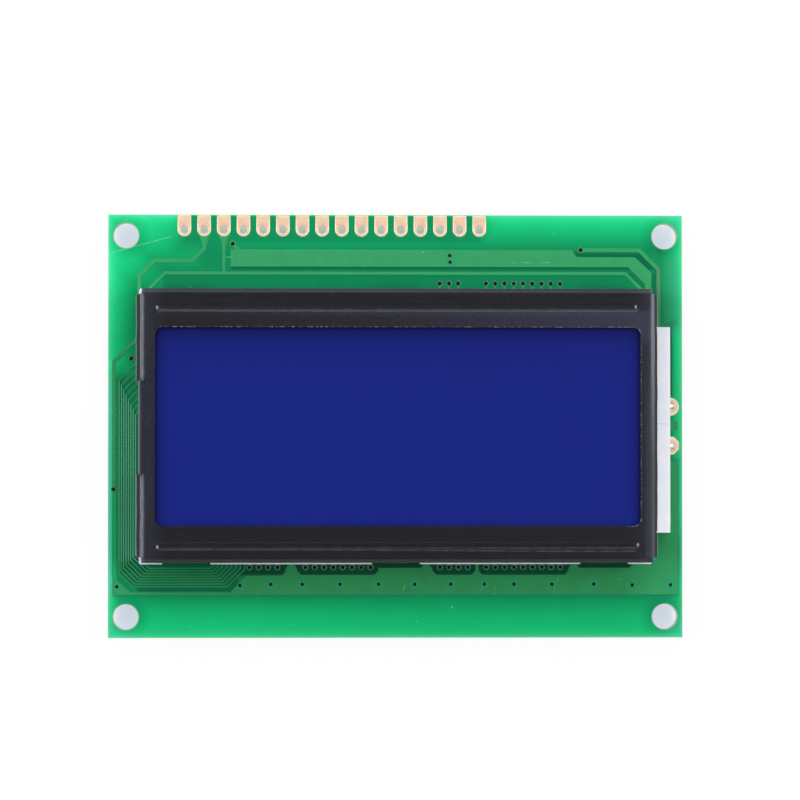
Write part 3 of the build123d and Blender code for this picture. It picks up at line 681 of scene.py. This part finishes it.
# Optical sheets and lamps
# A white reflector, a clear acrylic guide and a matt diffuser spread the light of six small lamps.
film_finish, shader, where = clouded_finish("matt_white_film", 0.6, 1.0, (232, 232, 232), (242, 242, 242))
relief(shader, noise(where, 12.0), 0.004)
dress(film_finish, "reflector_sheet", "diffuser_sheet")

guide_finish, shader, _ = clouded_finish("clear_acrylic", 0.05, 0.2, (240, 250, 252), (248, 254, 255))
shader.inputs["Transmission Weight"].default_value = 0.9
shader.inputs["IOR"].default_value = 1.49
dress(guide_finish, "light_guide")

lamp_finish, shader, where = clouded_finish("lamp_resin", 0.35, 2.0, (238, 236, 206), (250, 248, 226))
relief(shader, noise(where, 6.0), 0.01)
dress(lamp_finish, "lamps")


# Display cell
# Two glass plates with a polarising film on each outer face. Unlit it is a deep, even blue, with
# painted shade from the frame that darkens it towards the edges of the window, least at the lower one.
window_low = (-30.9, -12.81)
window_high = (31.07, 12.53)
cell_finish, shader, where = new_finish("blue_polariser", 0.3)
shader.inputs["Specular IOR Level"].default_value = 0.25
x, y, _ = axes_of(where)
# Painted shade from the frame darkens the blue towards the window's edges, least at the lower one.
from_sides = lowest(x - window_low[0], window_high[0] - x, y - (window_low[1] - 1.2))
below_top = window_high[1] - y
depth = (1.0 - exponent(-0.7 - 1.6 * from_sides)) * (1.0 - exponent(-0.6 - 0.5 * below_top))
depth = depth + 0.06 * noise(where, 0.12, 2.0) - 0.03
colour = fade(depth, [(0.2, (10, 14, 58)), (0.6, (15, 23, 94)), (1.0, (19, 32, 118))])
feed(shader.inputs["Base Color"], colour)
relief(shader, noise(where, 14.0, 2.0), 0.0015)
dress(cell_finish, "front_polariser", "rear_polariser")

glass_finish, shader, _ = clouded_finish("cell_glass", 0.03, 0.1, (150, 170, 216), (164, 184, 226))
shader.inputs["Transmission Weight"].default_value = 0.85
dress(glass_finish, "front_glass", "rear_glass")


# Conductive strips
# Bars of layered elastomer: thin conducting layers stand side by side along each strip.
layer_pitch = 0.18
strip_finish, shader, where = new_finish("layered_elastomer", 0.65)
x, _, _ = axes_of(where)
layers = 0.5 + 0.5 * number("SINE", x * (2 * np.pi / layer_pitch))
feed(shader.inputs["Base Color"], mix(layers, (38, 34, 36), (214, 168, 170)))
relief(shader, layers, 0.01)
dress(strip_finish, "elastomer_strip_upper", "elastomer_strip_lower")


# Stamped frame
# One steel sheet of 0.5 mm, cut, pressed with two beads, and bent down on all four sides, then
# coated black. Its side flanges lean outwards, and its tongues are twisted under the board. The
# coat carries painted light, shade and highlights on the plate, beads, bends and flanges, and pale specks
# beside the window.
plate_top = 10.85
sheet = 0.5
wall = 0.46  # thinner than the sheet, to leave room for its ripples
bend_r = 0.6
half_x, half_y = 32.6, 17.5
window_middle = (0.1, -0.14)
window_half = (30.98, 12.67)
flange_foot = 4.7
seat = 3.85
side_bend_x = {-1: 32.18, 1: 32.3}
side_half_y = 16.8
lean = {-1: np.radians(7.5), 1: np.radians(9.5)}
gap_low, gap_high, gap_lip = -6.19, 5.71, 33.0
block_low, block_high, block_clear = -13.925, 12.925, 7.55
window_r = 1.0
bead_y, bead_half, bead_r, bead_depth = 15.2, 30.42, 0.525, 0.055
bead_shift = (0.08, -0.12)
bead_glint_places = [(-30.62, 15.02), (-30.55, -15.46), (30.46, 15.2), (30.7, -15.22)]
tongue_xs = (-27.0, 0.0, 26.88)
tongue_half, shoulder_half = 1.5, 3.0
twist_run, twist = 1.3, np.radians(42)
flat_y = half_y - bend_r
bend_run = bend_r * np.pi / 2


def plate_height(px, py):
    """Height of the plate's outer face: level, with a smooth groove where the distance to a bead's middle
    line is under its half width, and slow waves of a few hundredths of a millimetre from the press."""
    past_end = np.maximum(np.abs(px - bead_shift[0]) - bead_half, 0)
    away = np.hypot(past_end, np.abs(np.abs(py - bead_shift[1]) - bead_y))
    share = np.clip((bead_r + 0.04 - away) / 0.28, 0, 1)
    groove = bead_depth * share * share * (3 - 2 * share)
    bar = np.exp(-((np.abs(py) - 16.1) / 0.5) ** 2)
    waves = 0.012 * np.sin(px / 3.1 + 0.7) * np.sin(py / 1.3)
    waves = waves + 0.008 * np.sin(px / 1.35) * np.sin(py / 2.1 + px / 7)
    edge = np.clip((half_x - np.abs(px)) / 1.5, 0, 1)
    lip = 0.12 * np.clip((np.abs(px) - 32.7) / 0.3, 0, 1) ** 2 * (np.abs(py) < 6.5)
    return plate_top - groove - lip - edge * (0.03 * bar + np.abs(waves))


def lines(*stops):
    """Places of grid lines, given as pairs of an end and the steps up to it."""
    run = [stops[0]]
    for end, steps in stops[1:]:
        run += np.linspace(run[-1], end, steps + 1)[1:].tolist()
    return np.array(run)


def cells(points, keep):
    """Faces of a grid of points, only where keep is true for the cell."""
    return grid_faces(*points.shape[:2])[keep.ravel()]


def middles(values):
    """The value halfway between each two neighbours."""
    return (values[1:] + values[:-1]) / 2


bead_lines = np.array([0.0, 0.14, 0.28, 0.33, 0.38, 0.43, 0.48, 0.53, 0.58, 0.7])
bead_lines = np.add.outer([bead_shift[1] - bead_y, bead_shift[1] + bead_y], [-bead_lines, bead_lines]).ravel()
tongue_edges = [-shoulder_half, -tongue_half, tongue_half, shoulder_half]
tongue_lines = np.add.outer(tongue_xs, tongue_edges).ravel()
side_lines = np.concatenate([side * np.array([
    29.8, 30.3, 30.5, 30.57, 30.64, 30.71, 30.78, 30.85, 30.92, 31.06, 31.2, 31.6, side_bend_x[side], 32.45,
    half_x, 32.8, gap_lip,
]) for side in (1, -1)])
corner_lines = [[low, low + window_r, high - window_r, high] for low, high in zip(window_low, window_high)]
grid_x = np.unique(np.concatenate([
    np.arange(-29, 29.5, 1.0), tongue_lines, side_lines, corner_lines[0],
]).round(4))
grid_y = np.unique(np.concatenate([
    np.arange(-11.5, 11.6, 1.0), corner_lines[1], bead_lines, [gap_low, gap_high, block_low, block_high],
    [-side_half_y, side_half_y, -flat_y, flat_y, 14.2, -14.2, 13.3, -13.4, 16.3, -16.3],
]).round(4))

# The plate and its upper and lower flanges, on a grid of x and of the way t along the sheet. Past the
# flat part the sheet follows a quarter circle of the bend's radius and then drops straight down.
bend_low = plate_top - bend_r
arc = np.linspace(0, bend_run, 8)[1:]
down = lines(0, (bend_low - flange_foot, 7), (bend_low - seat, 2), (bend_low - board_bottom, 3))[1:]
fold = np.concatenate([arc, bend_run + down])
grid_t = np.concatenate([-(flat_y + fold[::-1]), grid_y, flat_y + fold])
s, t = np.meshgrid(grid_x, grid_t, indexing="ij")
over = np.maximum(np.abs(t) - flat_y, 0)
turn = np.minimum(over / bend_r, np.pi / 2)
drop = np.maximum(over - bend_run, 0)
flat_t = np.clip(t, -flat_y, flat_y)
plate_points = np.stack([
    s,
    flat_t + np.sign(t) * bend_r * np.sin(turn),
    plate_height(s, flat_t) - bend_r * (1 - np.cos(turn)) - drop,
], axis=-1)
mid_s, mid_t = np.meshgrid(middles(grid_x), middles(grid_t), indexing="ij")
mid_z = bend_low - np.maximum(np.abs(mid_t) - flat_y - bend_run, 0)
in_window = (mid_s > window_low[0]) & (mid_s < window_high[0])
in_window = in_window & (mid_t > window_low[1]) & (mid_t < window_high[1])
past_bend = (mid_s > side_bend_x[1]) | (mid_s < -side_bend_x[-1])
off_side = (past_bend & (np.abs(mid_t) < side_half_y)) | (np.abs(mid_s) > half_x)
gap_strip = (mid_s < 0) & (mid_s > -gap_lip) & (mid_t > gap_low) & (mid_t < gap_high)
from_tongue = np.abs(mid_s[..., None] - np.array(tongue_xs)).min(axis=-1)
below_foot = (mid_z < flange_foot) & (from_tongue > shoulder_half)
below_shoulder = (mid_z < seat) & (from_tongue > tongue_half)
keep = ~in_window & (~off_side | gap_strip) & ~below_foot & ~below_shoulder
frame_points = [plate_points.reshape(-1, 3)]
frame_faces = cells(plate_points, keep).tolist()

# The side flanges, on a grid of y and of the way along the sheet: an arc of the bend's radius, then a
# straight run that leans outwards. The left one leaves its gap, the right one ends above the white block.
for side in (-1, 1):
    turn_end = np.pi / 2 - lean[side]
    arc_s = np.linspace(0, turn_end, 8)
    bend_z = bend_low + bend_r * np.sin(lean[side])
    stretch = (bend_z - np.array([block_clear, flange_foot])) / np.cos(lean[side])
    run_s = lines(0, (stretch[0], 4), (stretch[1], 4))[1:]
    grid_side_y = grid_y[np.abs(grid_y) <= side_half_y]
    turn = np.concatenate([arc_s, np.full(len(run_s), turn_end)])[:, None]
    run = np.concatenate([0 * arc_s, run_s])[:, None]
    row = grid_side_y[None]
    ripple = 0.03 * np.sin(row / 1.1 + side) * np.sin(row / 2.7) * np.clip(run / 2 + turn / 3, 0, 0.8)
    start = plate_height(side * side_bend_x[side], row)
    over_block = np.clip((row - block_low) / 0.5, 0, 1) * np.clip((block_high - row) / 0.5, 0, 1) * (side > 0)
    spread = 0.16 * over_block * np.clip(run / stretch[0], 0, 1)
    flange = np.stack(np.broadcast_arrays(
        side * (side_bend_x[side] + bend_r * np.sin(turn) + run * np.sin(lean[side]) + spread - ripple),
        row,
        start - bend_r * (1 - np.cos(turn)) - run * np.cos(lean[side]),
    ), axis=-1)
    mid_run = middles(run[:, 0])[:, None]
    mid_y = middles(grid_side_y)[None]
    if side < 0:
        kept = (mid_y < gap_low) | (mid_y > gap_high) | (mid_run < -1)
    else:
        kept = (mid_run < stretch[0]) | (mid_y < block_low) | (mid_y > block_high)
    offset = sum(len(block) for block in frame_points)
    frame_faces += (cells(flange, np.broadcast_to(kept, (len(mid_run), mid_y.shape[1]))) + offset).tolist()
    frame_points.append(flange.reshape(-1, 3))

# The window's rounded corners, each one face between the square corner and an arc.
for side_x in (-1, 1):
    for side_y, corner_y in ((-1, window_low[1]), (1, window_high[1])):
        corner_x = window_high[0] if side_x > 0 else window_low[0]
        reach_x = abs(corner_x)
        inner_x = np.sort(grid_x * side_x)
        inner_x = inner_x[(inner_x > reach_x - window_r + 1e-6) & (inner_x < reach_x - 1e-6)]
        inner_x = np.concatenate([[reach_x - window_r], inner_x])
        angle = np.linspace(0, np.pi / 2, 10)
        arc_x = side_x * (reach_x - window_r + window_r * np.cos(angle))
        arc_y = corner_y - side_y * (window_r - window_r * np.sin(angle))
        rim_x = np.concatenate([side_x * inner_x, [corner_x], arc_x[:-1]])
        rim_y = np.concatenate([np.full(len(inner_x), corner_y), [corner_y - side_y * window_r], arc_y[:-1]])
        rim = np.stack([rim_x, rim_y, plate_height(rim_x, rim_y)], axis=-1)
        offset = sum(len(block) for block in frame_points)
        order = np.arange(len(rim)) + offset
        frame_faces.append((order if side_x * side_y < 0 else order[::-1]).tolist())
        frame_points.append(rim)

steel_finish, shader, where = new_finish("coated_steel", 0.4)
x, y, z = axes_of(where)
abs_x = abs(x)
across = abs(x - window_middle[0])
below_bead = (abs(y - bead_shift[1]) - bead_y) * number("SIGN", y)
mottle = noise(where, 3.4, 6.0, 0.7)

# Painted light makes the coat lighter beside and above the window, along the upper bead and on the upper
# bend.
above_window = ramp_up(y, 10.0, 13.0) * ramp_up(y, 14.9, 14.3) * ramp_up(x, -34.0, 26.0)
glow = ramp_up(abs(below_bead + 0.4), 0.9, 0.15) * ramp_up(across, 31.0, 30.4)
glow = highest(glow, 0.7 * ramp_up(y, 16.3, 17.4)) * ramp_up(y, 0.0, 1.0)
shade = mottle - 0.4 + 0.5 * ramp_up(across, 29.5, 31.5) + 0.75 * above_window + 0.35 * glow
colour = fade(shade, [(0.0, (5, 6, 12)), (0.5, (21, 22, 32)), (1.0, (43, 45, 62))])

# Two painted highlights run along each bead.
low_half = ramp_up(y, 1.0, 0.0) * ramp_up(x, -10.0, 20.0)
bead_highlight = 0.0
for place, slide in ((-0.52, -0.18), (-0.26, 0.0)):
    apart = abs(below_bead - (place + slide * low_half))
    bead_highlight = highest(bead_highlight, ramp_up(apart, 0.06 - slide / 4, 0.02))
bead_highlight = bead_highlight * ramp_up(across, 30.6, 30.3) * ramp_up(noise(where, 0.8, 4.0), 0.25, 0.6)
colour = mix(bead_highlight * (0.55 + 0.4 * low_half), colour, (72, 74, 88))

# A painted glint lies at each end of a bead, where the coat is also less rough.
from_glint = lowest(*(flat_distance(where, place, (1.2, 0.8)) for place in bead_glint_places))
bead_end_glint = ramp_up(from_glint + 0.2 * noise(where, 3.0) - 0.1, 0.24, 0.05)
colour = mix(0.6 * bead_end_glint, colour, (188, 188, 200))

# Painted highlights lie along the side bends, except in the left flange's gap, which has only a painted
# bright edge.
sway = 0.5 * noise(where, 0.55, 3.0, 0.55) - 0.25
in_bend = abs_x + sway * ramp_up(x, 20.0, 19.0) + 0.4 * sway
lower_right = ramp_up(x, 0.0, 1.0) * ramp_up(y, 8.0, -4.0)
plain_gap = in_area(x, y, [(1, 0, 0.0), (0, 1, 6.3), (0, -1, 6.8)], 0.5)
bend_highlight = ramp_up(in_bend, 32.0, 32.65) ** 2.2 * ramp_up(in_bend, 32.88, 32.72)
bend_highlight = bend_highlight * (1.0 - plain_gap) * (0.62 - 0.4 * lower_right)
bend_highlight = highest(bend_highlight, 0.6 * plain_gap * ramp_up(abs_x, 32.86, 32.92))
colour = mix(bend_highlight, colour, (112, 114, 130))

# The side flanges are painted dark as shade, with a painted pale reflection at the foot.
on_flange = ramp_up(abs_x, 32.2, 32.6) * ramp_up(z, 10.2, 9.9)
colour = mix(on_flange, colour, (2, 2, 3))
foot_reflection = ramp_up(z, 6.3, 5.4) * ramp_up(z, 4.6, 4.7) * ramp_up(abs_x, 32.5, 32.8)
colour = mix(0.55 * foot_reflection, colour, (150, 182, 176))

# Pale specks lie beside the window's edge, most on the right and at the top.
past_x = highest(across - (window_half[0] - window_r), 0.0)
past_y = highest(abs(y - window_middle[1]) - (window_half[1] - window_r), 0.0)
from_window = number("SQRT", past_x * past_x + past_y * past_y) - window_r
beside_window = ramp_up(from_window, 0.16, 0.09) * ramp_up(z, 10.7, 10.75)
side_share = highest(ramp_up(x, 29.0, 30.5), ramp_up(y, 11.5, 12.3))
window_specks = beside_window * (0.05 + 0.5 * side_share) * ramp_up(noise(where, 2.6, 4.0, 0.75), 0.5, 0.62)
feed(shader.inputs["Base Color"], mix(window_specks, colour, (150, 156, 162)))

dull = 0.26 + 0.22 * mottle + 0.6 * on_flange + 0.3 * lower_right * ramp_up(abs_x, 31.6, 32.2)
feed(shader.inputs["Roughness"], dull - 0.2 * bead_end_glint)
relief(shader, noise(where, 4.5, 5.0, 0.6), 0.02)

stamped = new_piece("stamped_frame", np.concatenate(frame_points), frame_faces, steel_finish)
if sum(face.normal.z * face.area for face in stamped.data.polygons) < 0:
    stamped.data.flip_normals()
thickness = stamped.modifiers.new("sheet", "SOLIDIFY")
thickness.thickness = wall / 1000
thickness.offset = -1
worn_edges = stamped.modifiers.new("worn_edges", "BEVEL")
worn_edges.width = 0.00003
worn_edges.segments = 2
worn_edges.limit_method = "ANGLE"
worn_edges.angle_limit = np.radians(50)
worn_edges.harden_normals = True
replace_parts(stamped, "bezel")


# Twisted tails of the tongues
# The ends of the tongues stick out under the board and are turned with pliers to hold it.
# Each tail is a stack of four-sided rings, turned evenly with depth over the twist's run.
level = np.linspace(board_bottom, board_bottom - twist_run, 9)
level = np.array([board_bottom + 0.02, *level, 0.04, 0.0])
angle = np.clip((board_bottom - level) / twist_run, 0, 1) * twist
shrink = np.where(level < 0.03, 0.04, 0)
outline = np.array([(-1, -1), (1, -1), (1, 1), (-1, 1)])
half_w = (tongue_half - shrink)[:, None] * outline[None, :, 0]
half_t = (sheet / 2 - shrink)[:, None] * outline[None, :, 1]
tail_points = np.stack([
    half_w * np.cos(angle)[:, None] - half_t * np.sin(angle)[:, None],
    half_w * np.sin(angle)[:, None] + half_t * np.cos(angle)[:, None],
    level[:, None] + 0 * half_w,
], axis=-1)
tail_seats = np.array([(x0, side * (half_y - sheet / 2), 0) for side in (1, -1) for x0 in tongue_xs])
points = tail_seats[:, None, None] + tail_points[None]
caps = [[0, 1, 2, 3], [len(level) * 4 - 1 - k for k in range(4)]]
one_tail = np.concatenate([grid_faces(len(level), 4, close_columns=True), caps])
faces = for_each(one_tail, len(tail_seats), len(level) * 4)
tails = new_piece("twisted_tails", points, faces, steel_finish)
tails.data.set_sharp_from_angle(angle=np.radians(30))


# Leads and solder of the backlight
# Two tinned wires come out of the case's end block, bend down into plated holes and are soldered.
wire_finish, shader, where = clouded_finish(
    "tinned_wire", 0.3, 3.0, (186, 188, 194), (226, 228, 232), metallic=0.9,
)
relief(shader, noise(where, 8.0), 0.01)
softened_copy("lead_wires", "backlight_leads", wire_finish, 0.06)

fillet_profile = [
    (0.48, seat), (0.46, seat + 0.06), (0.4, seat + 0.16), (0.34, seat + 0.28), (0.3, seat + 0.35),
    (0.0, seat + 0.35),
]
rear_profile = [
    (0.0, board_bottom - 0.9), (0.3, board_bottom - 0.9), (0.38, board_bottom - 0.62),
    (0.52, board_bottom - 0.36), (0.68, board_bottom - 0.16), (0.8, board_bottom - plating),
    (0.45, board_bottom - plating), (0.45, seat),
]
points, faces = turned_rings(lead_places, rear_profile + fillet_profile, steps=32)
joints = new_piece("solder_joints", points, faces, solder_finish)
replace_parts(joints, "backlight_solder")


# Floor
# A plain white sheet far larger than the module; its shadow stays, softened.
floor_mesh = bpy.data.meshes.new("floor")
floor_mesh.from_pydata([(-3, -3, 0), (3, -3, 0), (3, 3, 0), (-3, 3, 0)], [], [(0, 1, 2, 3)])
floor = add_object("floor", floor_mesh)
paper = bpy.data.materials.new("white_paper")
paper.use_nodes = True
tree = paper.node_tree
shader = tree.nodes["Principled BSDF"]
shader.inputs["Base Color"].default_value = (0.97, 0.97, 0.97, 1)
shader.inputs["Roughness"].default_value = 0.9
bright = tree.nodes.new("ShaderNodeEmission")
bright.inputs["Strength"].default_value = 1.0
rays = tree.nodes.new("ShaderNodeLightPath").outputs
seen = highest(*(Field(rays[f"Is {kind} Ray"]) for kind in ("Camera", "Glossy", "Transmission")))
x, y, _ = axes_of(Field(tree.nodes.new("ShaderNodeTexCoord").outputs["Object"]))
# Under the board, and most under the pads and the frame, less painted white is mixed in so the real shadow
# shows, and the white there is tinted a painted blue-grey shade.
under = in_area(x, y, [(1, 0, 0.037), (-1, 0, 0.037), (0, 1, 0.027), (0, -1, 0.027)], 0.001)
below_pads = in_area(x, y, [(1, 0, 0.0125), (-1, 0, 0.0285), (0, 1, 0.0268), (0, -1, -0.0243)], 0.001)
below_frame = in_area(x, y, [(1, 0, 0.03), (-1, 0, 0.03), (0, 1, 0.019), (0, -1, 0.019)], 0.0005)
clear = 0.93 - 0.2 * under - 0.5 * below_pads - 0.7 * below_frame
feed(bright.inputs["Color"], mix(under, (255, 255, 255), (220, 228, 244)))
both = tree.nodes.new("ShaderNodeMixShader")
feed(both.inputs[0], clear * seen)
tree.links.new(shader.outputs[0], both.inputs[1])
tree.links.new(bright.outputs[0], both.inputs[2])
tree.links.new(both.outputs[0], tree.nodes["Material Output"].inputs["Surface"])
floor_mesh.materials.append(paper)


# Lights and camera
# Soft boxes at the top and on both sides, none straight above, so that flat black steel stays dark
# and its bends catch light. The camera looks down from above the left part of the display.
def soft_box(name, place, size, power):
    """A lamp of this size in metres that faces the module."""
    lamp = bpy.data.lights.new(name, "AREA")
    lamp.shape = "RECTANGLE"
    lamp.size, lamp.size_y = size
    lamp.energy = power
    box = add_object(name, lamp)
    box.location = place
    box.rotation_euler = (Vector((0, 0, 0)) - Vector(place)).to_track_quat("-Z", "Y").to_euler()


soft_box("light_top", (0, 0.55, 0.5), (1.0, 0.6), 3.9)
soft_box("light_left", (-0.6, 0.05, 0.42), (0.4, 0.8), 3.7)
soft_box("light_right", (0.6, 0.05, 0.42), (0.4, 0.8), 3.7)
soft_box("light_front", (0, -0.55, 0.45), (0.7, 0.5), 1.4)

world = bpy.data.worlds.new("studio")
world.use_nodes = True
tree = world.node_tree
sky = tree.nodes["Background"]
sky.inputs["Color"].default_value = (0.93, 0.96, 1.0, 1)
sky.inputs["Strength"].default_value = 0.06
bpy.context.scene.world = world

eye = Vector((-17.134, -6.581, 524.527)) / 1000
target = Vector((0.543, 3.392, 3.8)) / 1000
forward = (target - eye).normalized()
right = forward.cross(Vector((0, 1, 0))).normalized()
up = right.cross(forward)
camera = add_object("camera", bpy.data.cameras.new("camera"))
camera.data.sensor_width = 36
camera.data.lens = 181.5
camera.data.clip_start = 0.01
camera.matrix_world = Matrix.Translation(eye) @ Matrix((right, up, -forward)).transposed().to_4x4()
bpy.context.scene.camera = camera
bpy.context.scene.view_settings.view_transform = "Standard"
